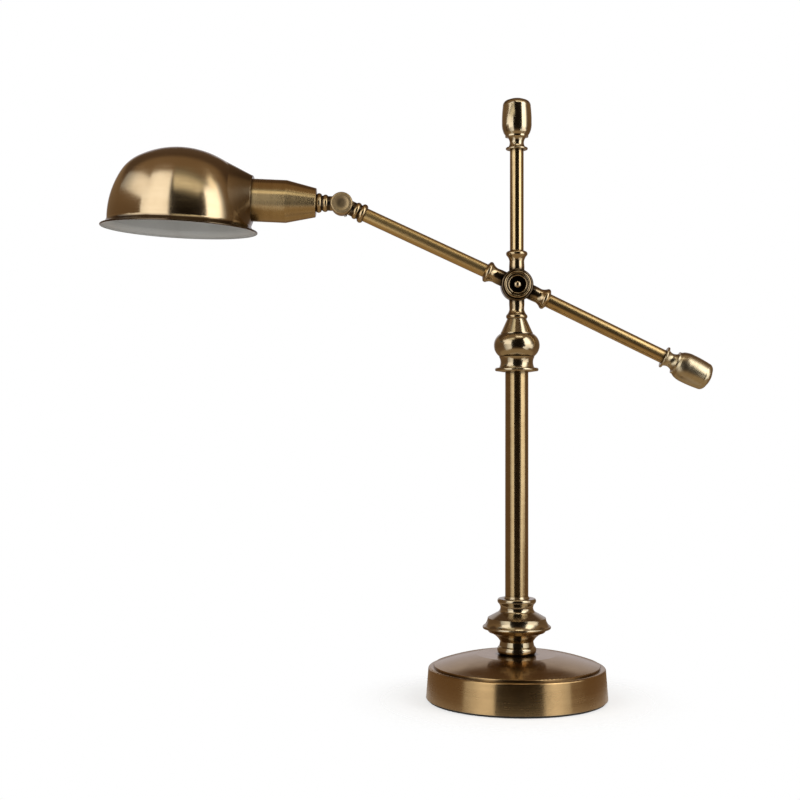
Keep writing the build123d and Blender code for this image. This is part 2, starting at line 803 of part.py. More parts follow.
with BuildPart() as boom_knuckle:
    spigot_points = [
        (big_bead_end, spigot_radius),
        (knuckle_spigot_end, spigot_radius),
        (knuckle_spigot_end, 0),
    ]
    revolve(outline(arm_profile, beaded_neck() + spigot_points), axis=spin(arm_profile))
    revolve(outline(screw_profile, ring(-knuckle_depth, 0, 0, knuckle_radius)), axis=spin(screw_profile))
    fillet(edges().filter_by(GeomType.CIRCLE).sort_by(Axis.Y)[-1], knuckle_round)
    with BuildSketch(knuckle_rear):
        Circle(knuckle_cut_radius)
    extrude(amount=-2 * knuckle_depth, mode=Mode.SUBTRACT)
    with BuildSketch(knuckle_rear):
        Circle(knuckle_screw_radius + running_gap)
    extrude(amount=knuckle_depth, mode=Mode.SUBTRACT)
    knuckle_bore = ring(knuckle_neck_end, knuckle_spigot_end, 0, flex_bore_radius)
    revolve(outline(arm_profile, knuckle_bore), axis=spin(arm_profile), mode=Mode.SUBTRACT)
    grub_hole = ring(grub_start, grub_start + grub_length, 0, grub_radius + screw_gap)
    revolve(outline(grub_profile, grub_hole), axis=spin(grub_profile), mode=Mode.SUBTRACT)
save(boom_knuckle, "boom_knuckle")

grub_screw = turned(grub_profile, ring(grub_start, grub_start + grub_length, 0, grub_radius))
save(grub_screw, "grub_screw")
boom_flex_end = knuckle_reach - knuckle_neck_end
boom_flex = turned(front_profile, ring(boom_flex_start, boom_flex_end, 0, flex_radius))
save(boom_flex, "boom_flex")

with BuildPart() as head_knuckle:
    revolve(outline(head_profile, beaded_neck() + [(big_bead_end, 0)]), axis=spin(head_profile))
    revolve(outline(screw_profile, ring(0, knuckle_depth, 0, knuckle_radius)), axis=spin(screw_profile))
    fillet(edges().filter_by(GeomType.CIRCLE).sort_by(Axis.Y)[0], knuckle_round)
    with BuildSketch(knuckle_front):
        Circle(knuckle_cut_radius)
    extrude(amount=-2 * knuckle_depth, mode=Mode.SUBTRACT)
    dish = [
        (knuckle_depth - knuckle_dish_depth, 0),
        (knuckle_depth, knuckle_dish_radius, crown(knuckle_dish_radius, knuckle_dish_depth)),
        (knuckle_depth, 0),
    ]
    revolve(outline(screw_profile, dish), axis=spin(screw_profile), mode=Mode.SUBTRACT)
    with BuildSketch(knuckle_front):
        Circle(knuckle_screw_radius + screw_gap)
    extrude(amount=knuckle_screw_reach - lap_face, mode=Mode.SUBTRACT)
    nipple_start = big_bead_end - nipple_depth
    nipple_hole = ring(nipple_start, big_bead_end, 0, rod_hole_radius)
    revolve(outline(head_profile, nipple_hole), axis=spin(head_profile), mode=Mode.SUBTRACT)
save(head_knuckle, "head_knuckle")

knuckle_hole = knuckle_screw_radius + running_gap
knuckle_washer_radius = knuckle_radius - knuckle_washer_inset
knuckle_washer_points = ring(-lap_face, lap_face, knuckle_hole, knuckle_washer_radius)
knuckle_washer = turned(screw_profile, knuckle_washer_points)
save(knuckle_washer, "knuckle_washer")
knuckle_spring_end = knuckle_depth + knuckle_spring_thickness
knuckle_spring_points = ring(-knuckle_spring_end, -knuckle_depth, knuckle_hole, knuckle_head_radius)
knuckle_spring = turned(screw_profile, knuckle_spring_points)
save(knuckle_spring, "knuckle_spring")
knuckle_head_start = -knuckle_spring_end - knuckle_head_edge
knuckle_screw_points = [
    (knuckle_head_start - knuckle_head_crown, 0),
    (knuckle_head_start, knuckle_head_radius, crown(knuckle_head_radius, knuckle_head_crown)),
    (-knuckle_spring_end, knuckle_head_radius),
    (-knuckle_spring_end, knuckle_screw_radius),
    (knuckle_screw_reach, knuckle_screw_radius),
    (knuckle_screw_reach, 0),
]
knuckle_screw = turned(screw_profile, knuckle_screw_points)
save(knuckle_screw, "knuckle_screw")

# Head: nipple, cup and lampholder
head_nipple = turned(head_profile, ring(nipple_start, nipple_end, rod_bore_radius, rod_radius))
save(head_nipple, "head_nipple")


def cup_points(inset):
    # The outside of the socket cup, or its inside
    start = big_bead_end + (cup_floor if inset else 0)
    end = cup_end + inset
    return [
        (start, 0),
        (start, cup_small_radius - cup_small_round - inset),
        (start + cup_small_round, cup_small_radius - inset, cup_small_round * quarter),
        (cup_cone_end, cup_radius - inset),
        (end, cup_radius - inset),
        (end, 0),
    ]


with BuildPart() as socket_cup:
    revolve(outline(head_profile, cup_points(0)), axis=spin(head_profile))
    revolve(outline(head_profile, cup_points(cup_wall)), axis=spin(head_profile), mode=Mode.SUBTRACT)
    cup_hole = ring(0, cup_cone_end, 0, rod_hole_radius)
    revolve(outline(head_profile, cup_hole), axis=spin(head_profile), mode=Mode.SUBTRACT)
save(socket_cup, "socket_cup")

with BuildPart() as cup_nut:
    with BuildSketch(Plane(origin=knuckle_point + head_way * cup_inside, x_dir=head_up, z_dir=head_way)):
        RegularPolygon(cup_nut_radius, 6)
        Circle(rod_hole_radius, mode=Mode.SUBTRACT)
    extrude(amount=nut_height)
save(cup_nut, "cup_nut")

holder_flange = cup_end - holder_flange_height
lampholder_points = [
    (holder_start, flex_bore_radius),
    (holder_start, holder_radius),
    (holder_flange, holder_radius),
    (holder_flange, holder_flange_radius),
    (cup_end, holder_flange_radius),
    (cup_end, holder_neck_radius),
    (holder_mouth, holder_neck_radius),
    (holder_mouth, holder_bore_radius),
    (holder_floor, holder_bore_radius),
    (holder_floor, 0),
    (holder_start + holder_flex_depth, 0),
    (holder_start + holder_flex_depth, flex_bore_radius),
]
lampholder = turned(head_profile, lampholder_points)
save(lampholder, "lampholder")

head_flex_start = nipple_start
head_flex_end = holder_start + holder_flex_depth
head_flex = turned(head_profile, ring(head_flex_start, head_flex_end, 0, rod_bore_radius - flex_gap))
save(head_flex, "head_flex")
screw_shell = turned(head_profile, ring(shell_start, holder_mouth, shell_inner_radius, shell_radius))
save(screw_shell, "screw_shell")
centre_contact = turned(head_profile, ring(holder_floor, bulb_cap_start, 0, contact_radius))
save(centre_contact, "centre_contact")

# Bulb
bulb_cap_points = [
    (bulb_cap_start, 0),
    (bulb_cap_start, bulb_tip_radius),
    (shell_start + shell_radius - bulb_tip_radius, bulb_cap_radius, -bulb_cap_hollow),
    (bulb_cap_end, bulb_cap_radius),
    (bulb_cap_end, 0),
]
bulb_cap = turned(head_profile, bulb_cap_points)
save(bulb_cap, "bulb_cap")


def globe_points(inset):
    # A round bulb with a short neck: sides of the neck, then the long arc over the crown
    radius = globe_radius - inset
    neck = globe_neck_radius - inset
    shoulder = globe_centre - sqrt(radius ** 2 - neck ** 2)
    half_chord = sqrt((globe_centre + radius - shoulder) ** 2 + neck ** 2) / 2
    bulge = radius - sqrt(radius ** 2 - half_chord ** 2)
    return [
        (bulb_cap_end, 0),
        (bulb_cap_end, neck),
        (shoulder, neck),
        (globe_centre + radius, 0, bulge),
    ]


with BuildPart() as bulb_globe:
    revolve(outline(head_profile, globe_points(0)), axis=spin(head_profile))
    revolve(outline(head_profile, globe_points(glass_wall)), axis=spin(head_profile), mode=Mode.SUBTRACT)
save(bulb_globe, "bulb_globe")


# Shade: a dome on a short wall, a spout to the cup, and a flared lip. The dome is three arcs in one
# smooth line, the middle one tighter, alike about its 45 degree point.
shade_corner = radians(shade_corner_deg)
shade_curl = cos(shade_corner) - sin(shade_corner)
shade_flat_radius = (shade_radius - shade_curl * shade_corner_radius) / (1 - shade_curl)
arc_swell = 1 - cos(shade_corner / 2)


def shade_points(inset):
    radius = shade_radius - inset
    flat = shade_flat_radius - inset
    corner = shade_corner_radius - inset
    rise = flat * sin(shade_corner)
    run = radius - flat * (1 - cos(shade_corner))
    return [
        (0, 0),
        (0, lip_out_radius - inset),
        (shade_bead, lip_out_radius - inset, shade_bead / 4),
        (shade_lip_height, radius, -shade_lip_hollow),
        (shade_wall_height, radius),
        (shade_wall_height + rise, run, flat * arc_swell),
        (shade_wall_height + run, rise, corner * arc_swell),
        (shade_wall_height + radius, 0, flat * arc_swell),
    ]


spout_centre = rim_point + head_up * (shade_wall_height + spout_centre_rise)
spout_tip = knuckle_point + head_way * cup_end


def spout(inset):
    # The cone between the dome and the cup, or its inside. Its foot is the circle where a cone from the
    # cup's end touches a ball that fits the dome there.
    tip = spout_tip + head_way * inset
    axis = tip - spout_centre
    ball = shade_radius - spout_sink - inset
    tip_radius = spout_radius - inset * spout_tip_thinning
    slant = atan2(axis.length, tip_radius) - acos(ball / sqrt(axis.length ** 2 + tip_radius ** 2))
    foot = spout_centre + axis.normalized() * ball * sin(slant)
    with BuildPart() as cone:
        with BuildSketch(Plane(origin=foot, x_dir=(0, 1, 0), z_dir=axis)):
            Circle(ball * cos(slant))
        with BuildSketch(Plane(origin=tip, x_dir=(0, 1, 0), z_dir=head_way * -1)):
            Circle(tip_radius)
        loft(ruled=True)
        split(bisect_by=Plane(origin=rim_point, x_dir=(0, 1, 0), z_dir=head_up), keep=Keep.TOP)
    return cone.part


holder_hole_radius = holder_neck_radius + seat_gap
with BuildPart() as shade:
    revolve(outline(shade_profile, shade_points(0)), axis=spin(shade_profile))
    add(spout(0))
    spout_rim_points = [
        (cup_end, holder_hole_radius),
        (cup_end, spout_radius),
        (cup_end + spout_rim_width, spout_radius, spout_rim),
        (cup_end + spout_rim_width, holder_hole_radius),
    ]
    revolve(outline(head_profile, spout_rim_points), axis=spin(head_profile))
    revolve(outline(shade_profile, shade_points(shade_wall)), axis=spin(shade_profile), mode=Mode.SUBTRACT)
    add(spout(shade_wall), mode=Mode.SUBTRACT)
    holder_hole = ring(cup_end, shade_centre, 0, holder_hole_radius)
    revolve(outline(head_profile, holder_hole), axis=spin(head_profile), mode=Mode.SUBTRACT)
save(shade, "shade")

ring_start = cup_end + shade_wall
shade_ring_points = ring(ring_start, ring_start + shade_ring_height, holder_hole_radius, shade_ring_radius)
shade_ring = turned(head_profile, shade_ring_points)
save(shade_ring, "shade_ring")
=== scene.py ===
import bpy
import bmesh
import json
from math import cos, radians, sin
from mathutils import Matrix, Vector

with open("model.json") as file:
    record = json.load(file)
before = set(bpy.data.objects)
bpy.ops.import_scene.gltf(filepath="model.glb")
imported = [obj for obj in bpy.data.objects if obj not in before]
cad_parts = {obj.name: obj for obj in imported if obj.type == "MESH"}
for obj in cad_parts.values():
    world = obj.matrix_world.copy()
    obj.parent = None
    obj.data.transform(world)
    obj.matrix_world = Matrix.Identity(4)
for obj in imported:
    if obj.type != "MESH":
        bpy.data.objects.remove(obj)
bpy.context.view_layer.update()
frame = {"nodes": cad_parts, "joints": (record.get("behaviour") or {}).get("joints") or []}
nodes = frame["nodes"]
print("frame loaded:", len(nodes), "nodes")

scene = bpy.context.scene
scene.view_settings.view_transform = "Standard"

# slopes of the boom and the head, and the centre of the shade's rim from the knuckle
frontRise = radians(24.9)
rearFall = radians(26.0)
headPitch = radians(2.5)
rimAhead = 0.1616
rimBelow = 0.033

# lines that the pieces are turned or drawn about, with Z along each: upright is the column's own, and the
# others go through the frame's joints
jointAt = {joint["name"]: Vector(joint["pos_m"]) for joint in frame["joints"]}
hub = jointAt["boom_tilt"]
knuckle = jointAt["head_tilt"]
quarterTurn = radians(90)
upright = {"at": (0, 0, 0), "turn": (0, 0, 0)}
hubUpright = {"at": hub, "turn": (0, 0, 0)}
frontBoom = {"at": hub, "turn": (0, frontRise - quarterTurn, 0)}
rearBoom = {"at": hub, "turn": (0, rearFall - quarterTurn, 0)}
pivot = {"at": hub, "turn": (quarterTurn, 0, 0)}
knucklePin = {"at": knuckle, "turn": (quarterTurn, 0, 0)}
headLine = {"at": knuckle, "turn": (0, headPitch - quarterTurn, 0)}
armLine = {"at": knuckle, "turn": (0, frontRise + quarterTurn, 0)}
headWay = Vector((-cos(headPitch), 0, sin(headPitch)))
headUp = Vector((sin(headPitch), 0, cos(headPitch)))
rimCentre = knuckle + headWay * rimAhead - headUp * rimBelow
shadeLine = {"at": rimCentre, "turn": (0, headPitch, 0)}


# small helpers for node trees: a source is a socket to link or a value to set
def wire(tree, source, socket):
    if isinstance(source, bpy.types.NodeSocket):
        tree.links.new(source, socket)
    else:
        socket.default_value = source


def add(tree, kind, settings=None, inputs=None):
    node = tree.nodes.new(kind)
    for name, value in (settings or {}).items():
        setattr(node, name, value)
    for name, value in (inputs or {}).items():
        wire(tree, value, node.inputs[name])
    return node


def maths(tree, operation, first, second):
    return add(tree, "ShaderNodeMath", {"operation": operation}, {0: first, 1: second}).outputs[0]


def times(tree, first, second):
    return maths(tree, "MULTIPLY", first, second)


def vectors(tree, operation, *given):
    node = add(tree, "ShaderNodeVectorMath", {"operation": operation}, dict(enumerate(given)))
    return node.outputs["Value" if operation in ("LENGTH", "DISTANCE", "DOT_PRODUCT") else "Vector"]


def flattened(tree, vector):
    return vectors(tree, "MULTIPLY", vector, (1, 1, 0))


def parts(tree, vector):
    return add(tree, "ShaderNodeSeparateXYZ", None, {0: vector}).outputs


def ramp(tree, value, low, high, toLow=0.0, toHigh=1.0):
    node = add(tree, "ShaderNodeMapRange", {"interpolation_type": "SMOOTHSTEP"},
               {"Value": value, "From Min": low, "From Max": high, "To Min": toLow, "To Max": toHigh})
    return node.outputs["Result"]


# sockets by number here and in the shade, because a Mix node has an A and a B for each kind of value
def blendColour(tree, share, first, second):
    return add(tree, "ShaderNodeMix", {"data_type": "RGBA"}, {0: share, 6: first, 7: second}).outputs[2]


def noise(tree, vector, scale, detail, roughness):
    node = add(tree, "ShaderNodeTexNoise", None,
               {"Vector": vector, "Scale": scale, "Detail": detail, "Roughness": roughness})
    return node.outputs["Fac"]


def objectCoords(tree):
    return add(tree, "ShaderNodeTexCoord").outputs["Object"]


def newGroup(name, inputs, outputs):
    tree = bpy.data.node_groups.new(name, "ShaderNodeTree")
    for label, kind, value in inputs:
        socket = tree.interface.new_socket(name=label, in_out="INPUT", socket_type=kind)
        if value is not None:
            socket.default_value = value
    for label, kind in outputs:
        tree.interface.new_socket(name=label, in_out="OUTPUT", socket_type=kind)
    return tree, tree.nodes.new("NodeGroupInput").outputs, tree.nodes.new("NodeGroupOutput").inputs


# brush and lathe lines about the Z axis: few around and many along gives rings, the reverse gives drawn lines
lineLook = {
    "radiusShare": 1.618,    # so that flat faces get rings too
    "fineScale": 1.0,
    "fineDetail": 1.0,
    "fineRange": (0.28, 0.72),
    "wideScale": 0.23,
    "wideDetail": 2.0,
    "wideRange": (0.3, 0.7),
    "noiseRoughness": 0.5,
}


def makeBrushLines():
    tree, given, result = newGroup(
        "Brush Lines",
        [("Vector", "NodeSocketVector", None), ("Around", "NodeSocketFloat", 3.0),
         ("Along", "NodeSocketFloat", 900.0)],
        [("Lines", "NodeSocketFloat"), ("Bands", "NodeSocketFloat")])
    flat = flattened(tree, given["Vector"])
    radius = vectors(tree, "LENGTH", flat)
    run = maths(tree, "ADD", parts(tree, given["Vector"])["Z"], times(tree, radius, lineLook["radiusShare"]))
    rise = times(tree, run, given["Along"])
    turn = add(tree, "ShaderNodeVectorMath", {"operation": "SCALE"},
               {0: vectors(tree, "NORMALIZE", flat), "Scale": given["Around"]})
    spread = parts(tree, turn.outputs[0])
    place = add(tree, "ShaderNodeCombineXYZ", None, {0: spread["X"], 1: spread["Y"], 2: rise}).outputs[0]
    fine = noise(tree, place, lineLook["fineScale"], lineLook["fineDetail"], lineLook["noiseRoughness"])
    wide = noise(tree, place, lineLook["wideScale"], lineLook["wideDetail"], lineLook["noiseRoughness"])
    wire(tree, ramp(tree, fine, *lineLook["fineRange"]), result["Lines"])
    wire(tree, ramp(tree, wide, *lineLook["wideRange"]), result["Bands"])
    return tree


# dark patina that stays in hollows, cloudy tarnish all over and small specks
patinaLook = {
    "samples": 16,
    "cloudDetail": 4.0,
    "cloudRange": (0.3, 0.7),
    "raggedFrom": (0.2, 0.75),    # clouds that fray the rim of a hollow
    "raggedTo": (0.6, 1.25),
    "hollowRange": (0.06, 0.6),
    "speckScale": 900.0,
    "speckDetail": 2.0,
    "speckRange": (0.62, 0.75),
    "noiseRoughness": 0.6,
}


def makePatina():
    tree, given, result = newGroup(
        "Patina",
        [("Vector", "NodeSocketVector", None), ("Reach", "NodeSocketFloat", 0.006),
         ("Cloud Scale", "NodeSocketFloat", 45.0)],
        [("Hollows", "NodeSocketFloat"), ("Clouds", "NodeSocketFloat"), ("Specks", "NodeSocketFloat")])
    shade = add(tree, "ShaderNodeAmbientOcclusion", {"samples": patinaLook["samples"]},
                {"Distance": given["Reach"]})
    clouds = noise(tree, given["Vector"], given["Cloud Scale"], patinaLook["cloudDetail"],
                   patinaLook["noiseRoughness"])
    specks = noise(tree, given["Vector"], patinaLook["speckScale"], patinaLook["speckDetail"],
                   patinaLook["noiseRoughness"])
    deep = maths(tree, "SUBTRACT", 1.0, shade.outputs["AO"])
    ragged = times(tree, deep, ramp(tree, clouds, *patinaLook["raggedFrom"], *patinaLook["raggedTo"]))
    wire(tree, ramp(tree, ragged, *patinaLook["hollowRange"]), result["Hollows"])
    wire(tree, ramp(tree, clouds, *patinaLook["cloudRange"]), result["Clouds"])
    wire(tree, ramp(tree, specks, *patinaLook["speckRange"]), result["Specks"])
    return tree


# outer edges that hands have rubbed bright, in places more than in others
rubbedLook = {
    "samples": 16,
    "thinRange": (0.12, 0.5),
    "wornScale": 160.0,
    "wornDetail": 3.0,
    "wornRoughness": 0.6,
    "wornFrom": (0.3, 0.62),
    "wornTo": (0.35, 1.0),
}


def makeRubbedEdges():
    tree, given, result = newGroup(
        "Rubbed Edges",
        [("Vector", "NodeSocketVector", None), ("Width", "NodeSocketFloat", 0.0009)],
        [("Edge", "NodeSocketFloat")])
    inside = add(tree, "ShaderNodeAmbientOcclusion", {"samples": rubbedLook["samples"], "inside": True},
                 {"Distance": given["Width"]})
    thin = ramp(tree, maths(tree, "SUBTRACT", 1.0, inside.outputs["AO"]), *rubbedLook["thinRange"])
    worn = noise(tree, given["Vector"], rubbedLook["wornScale"], rubbedLook["wornDetail"],
                 rubbedLook["wornRoughness"])
    wire(tree, times(tree, thin, ramp(tree, worn, *rubbedLook["wornFrom"], *rubbedLook["wornTo"])),
         result["Edge"])
    return tree


brushLines = makeBrushLines()
patina = makePatina()
rubbedEdges = makeRubbedEdges()
print("node groups made")


def emptyMaterial(name):
    material = bpy.data.materials.new(name)
    material.use_nodes = True
    material.node_tree.nodes.clear()
    return material, material.node_tree


def newMaterial(name):
    material, tree = emptyMaterial(name)
    output = add(tree, "ShaderNodeOutputMaterial")
    skin = add(tree, "ShaderNodeBsdfPrincipled")
    tree.links.new(skin.outputs[0], output.inputs["Surface"])
    return material, tree, skin


def lathePlace(tree, line):
    settled = add(tree, "ShaderNodeMapping", {"vector_type": "TEXTURE"},
                  {"Vector": objectCoords(tree), "Location": line["at"], "Rotation": line["turn"]})
    return settled.outputs["Vector"]


def useGroup(tree, group, inputs):
    return add(tree, "ShaderNodeGroup", {"node_tree": group}, inputs).outputs


def dress(material, *names):
    for name in names:
        slots = nodes[name].data.materials
        slots.clear()
        slots.append(material)


# antique brass, lacquered; each piece below changes what it needs
brassLook = {
    "colour": (0.45, 0.352, 0.225, 1),
    "tarnish": (0.32, 0.22, 0.11, 1),
    "hollow": (0.03, 0.018, 0.01, 1),
    "edge": (0.58, 0.47, 0.31, 1),
    "roughness": 0.15,
    "hollowRough": 0.12,    # what hollows, clouds and lines add to it
    "cloudRough": 0.05,
    "lineRough": 0.04,
    "grain": 0.5,           # how far the rings pull reflections apart
    "grainTurn": 0.25,      # a quarter turn: reflections spread across the rings
    "spin": "Z",            # axis that the rings go round, None where the piece lies askew
    "tarnishShare": 0.3,
    "hollowShare": 0.85,
    "hollowReach": 0.006,
    "edgeShare": 0.5,
    "edgeWidth": 0.0008,
    "around": 3.0,
    "along": 1400.0,
    "lineDepth": 0.0000004,
    "lineStrength": 0.6,
    "lineTint": 0.12,
    "cloudScale": 45.0,
    "specks": 0.03,
    "coat": 0.2,
}
lineMiddle = 0.5    # level of the Lines mask that leaves the roughness as it is


# share of dark patina along a line's height or out from it, by stops in metres
def ringShare(tree, place, rings):
    if rings["by"] == "radius":
        measure = vectors(tree, "LENGTH", flattened(tree, place))
    else:
        measure = parts(tree, place)["Z"]
    node = add(tree, "ShaderNodeValToRGB", None, {"Fac": maths(tree, "DIVIDE", measure, rings["size"])})
    stops = node.color_ramp.elements    # a new ramp has a first and a last stop
    for index, (at, share) in enumerate(rings["stops"]):
        stop = stops.new(at / rings["size"]) if index else stops[0]
        stop.position = at / rings["size"]
        stop.color = (share, share, share, 1)
    stops[len(stops) - 1].color = stop.color
    return node.outputs["Color"]


def brassColour(tree, place, brushed, aged, look):
    rubbed = useGroup(tree, rubbedEdges, {"Vector": place, "Width": look["edgeWidth"]})
    colour = look["colour"]
    layers = [
        (aged["Clouds"], "tarnishShare", "tarnish"),
        (brushed["Bands"], "lineTint", "tarnish"),
        (aged["Hollows"], "hollowShare", "hollow"),
        (aged["Specks"], "specks", "hollow"),
        (rubbed["Edge"], "edgeShare", "edge"),
    ]
    for mask, share, tone in layers:
        colour = blendColour(tree, times(tree, mask, look[share]), colour, look[tone])
    if "darkAt" in look:    # darker round one point: round the hub's joint and the knuckle's eye, and painted shade at the shade's spout
        away = vectors(tree, "DISTANCE", place, look["darkAt"])
        dark = ramp(tree, away, look["darkFrom"], look["darkTo"], look["darkShare"], 0.0)
        colour = blendColour(tree, dark, colour, look["hollow"])
    if "rings" in look:    # dark grooves between turned rings or beads
        colour = blendColour(tree, ringShare(tree, place, look["rings"]), colour, look["hollow"])
    return colour


def brassRough(tree, place, brushed, aged, look):
    lines = times(tree, maths(tree, "SUBTRACT", brushed["Lines"], lineMiddle), look["lineRough"])
    rough = maths(tree, "ADD", look["roughness"], lines)
    rough = maths(tree, "ADD", rough, times(tree, aged["Hollows"], look["hollowRough"]))
    rough = maths(tree, "ADD", rough, times(tree, aged["Clouds"], look["cloudRough"]))
    if "polish" in look:    # buffed beyond a height on its line, left as it was before it
        buffed = ramp(tree, parts(tree, place)["Z"], look["polishFrom"], look["polishTo"])
        rough = maths(tree, "SUBTRACT", rough, times(tree, buffed, look["roughness"] - look["polish"]))
    return rough


def brassSkin(tree, skin, line, look):
    place = lathePlace(tree, line)
    brushed = useGroup(tree, brushLines, {"Vector": place, "Around": look["around"], "Along": look["along"]})
    aged = useGroup(tree, patina,
                    {"Vector": place, "Reach": look["hollowReach"], "Cloud Scale": look["cloudScale"]})
    bump = add(tree, "ShaderNodeBump", None,
               {"Strength": look["lineStrength"], "Distance": look["lineDepth"], "Height": brushed["Lines"]})
    skin.inputs["Metallic"].default_value = 1.0
    skin.inputs["Coat Weight"].default_value = look["coat"]
    skin.inputs["Coat Roughness"].default_value = look["roughness"]
    if look["spin"]:
        skin.inputs["Anisotropic"].default_value = look["grain"]
        skin.inputs["Anisotropic Rotation"].default_value = look["grainTurn"]
        around = add(tree, "ShaderNodeTangent", {"direction_type": "RADIAL", "axis": look["spin"]})
        tree.links.new(around.outputs["Tangent"], skin.inputs["Tangent"])
    colour = brassColour(tree, place, brushed, aged, look)
    rough = brassRough(tree, place, brushed, aged, look)
    return colour, rough, bump.outputs["Normal"]


def makeBrass(name, line, changes):
    material, tree, skin = newMaterial(name)
    colour, rough, normal = brassSkin(tree, skin, line, dict(brassLook, **changes))
    tree.links.new(colour, skin.inputs["Base Color"])
    tree.links.new(rough, skin.inputs["Roughness"])
    tree.links.new(normal, skin.inputs["Normal"])
    return material


# base: brushed wall and ledge, buffed dome
baseLook = {
    "colour": (0.45, 0.302, 0.142, 1),
    "tarnish": (0.32, 0.20, 0.085, 1),
    "roughness": 0.22,
    "grain": 0.8,
    "around": 2.0,
    "lineDepth": 0.0000012,
    "lineTint": 0.16,
    "polish": 0.13,
    "polishFrom": 0.035,
    "polishTo": 0.038,
}
dress(makeBrass("base_brass", upright, baseLook), "base_shell")

# turned fittings, and the barrel weight with a softer finish
turnedLook = {
    "colour": (0.45, 0.376, 0.258, 1),
    "tarnish": (0.32, 0.236, 0.128, 1),
    "roughness": 0.14,
    "grain": 0.4,
}
weightLook = dict(turnedLook, colour=(0.50, 0.424, 0.285, 1), spin=None, roughness=0.27)
dress(makeBrass("turned_brass", upright, turnedLook), "foot_ring", "foot_bowl", "foot_cap",
      "vase_flange", "vase_ball", "vase_cone", "finial_collar", "finial")
dress(makeBrass("weight_brass", rearBoom, weightLook), "counterweight", "counterweight_collar")

# column, mast and cup: fine lathe rings
columnLook = {
    "colour": (0.44, 0.325, 0.168, 1),
    "tarnish": (0.32, 0.215, 0.10, 1),
    "roughness": 0.2,
    "grain": 0.85,
    "along": 1800.0,
    "lineDepth": 0.0000003,
    "lineTint": 0.3,
    "edgeWidth": 0.0003,
}
mastLook = dict(columnLook, roughness=0.18)
cupLook = dict(columnLook, spin="X", roughness=0.26, along=1500.0, edgeWidth=brassLook["edgeWidth"])
dress(makeBrass("column_brass", upright, columnLook), "column_tube")
dress(makeBrass("mast_brass", upright, mastLook), "mast_tube")
dress(makeBrass("cup_brass", headLine, cupLook), "socket_cup")

# boom tubes: drawn lines along them
boomLook = {
    "colour": (0.52, 0.365, 0.155, 1),
    "tarnish": (0.37, 0.24, 0.095, 1),
    "spin": None,
    "roughness": 0.34,
    "coat": 0.4,
    "around": 9.0,
    "along": 5.0,
    "lineDepth": 0.000003,
    "lineTint": 0.3,
    "edgeWidth": 0.0003,
}
rearBoomLook = dict(boomLook, roughness=0.27)
dress(makeBrass("front_tube_brass", frontBoom, boomLook), "front_boom_tube")
dress(makeBrass("rear_tube_brass", rearBoom, rearBoomLook), "rear_boom_tube")
print("turned and drawn brass done")

# castings at the hub and the knuckle, with more patina in them
castLook = {
    "colour": (0.30, 0.205, 0.105, 1),
    "tarnish": (0.13, 0.085, 0.04, 1),
    "spin": None,
    "tarnishShare": 0.5,
    "hollowShare": 0.95,
    "hollowReach": 0.009,
    "roughness": 0.2,
    "edgeShare": 0.6,
}

# hub: necks rubbed bright, dark round the joint
hubLook = dict(
    castLook,
    colour=(0.42, 0.32, 0.19, 1),
    tarnishShare=0.3,
    roughness=0.16,
    darkAt=(0, 0, 0),
    darkFrom=0.0165,
    darkTo=0.021,
    darkShare=0.9,
)
boomHubLook = dict(hubLook, darkTo=0.026)
dress(makeBrass("mast_hub_brass", hubUpright, hubLook), "mast_hub")
dress(makeBrass("boom_hub_brass", frontBoom, boomHubLook), "boom_hub")

# knuckle: satin eye, buffed beads with dark grooves between them
beadRings = {
    "by": "height",
    "size": 0.03,
    "stops": [(0.0105, 0.0), (0.0116, 0.92), (0.0138, 0.92), (0.0153, 0.0), (0.0178, 0.0),
              (0.0188, 0.92), (0.0200, 0.92), (0.0213, 0.0), (0.0243, 0.0), (0.0254, 0.6)],
}
knuckleLook = dict(
    castLook,
    colour=(0.45, 0.335, 0.185, 1),
    tarnishShare=0.25,
    roughness=0.42,
    hollowShare=0.6,
    edgeShare=0.4,
    edgeWidth=0.0016,
    polish=0.18,
    polishFrom=0.0105,
    polishTo=0.0125,
    rings=beadRings,
)
eyeLook = dict(knuckleLook, darkAt=(0, -0.0075, 0), darkFrom=0.003, darkTo=0.0066, darkShare=0.55)
screwLook = dict(castLook, roughness=0.24)
dress(makeBrass("boom_knuckle_brass", armLine, knuckleLook), "boom_knuckle")
dress(makeBrass("head_knuckle_brass", headLine, eyeLook), "head_knuckle")
dress(makeBrass("knuckle_screw_brass", knucklePin, screwLook), "knuckle_screw")

# clamp knob: bright rings on dark, round the end of the bolt
knobRings = {
    "by": "radius",
    "size": 0.02,
    "stops": [(0.0035, 0.95), (0.0076, 0.95), (0.0082, 0.0), (0.0094, 0.0), (0.0099, 0.85),
              (0.0108, 0.85), (0.0115, 0.0), (0.0132, 0.0), (0.0138, 0.95)],
}
knobLook = dict(
    castLook,
    colour=(0.42, 0.32, 0.19, 1),
    tarnishShare=0.2,
    roughness=0.13,
    lineDepth=0.0000002,
    lineTint=0.05,
    edgeShare=0.3,
    edgeWidth=0.0006,
    hollowReach=0.006,
    specks=0.0,
    coat=0.0,
    rings=knobRings,
)
boltLook = {"roughness": 0.2, "spin": None}
dress(makeBrass("knob_brass", pivot, knobLook), "clamp_knob")
dress(makeBrass("bolt_brass", pivot, boltLook), "pivot_bolt")
print("castings done")
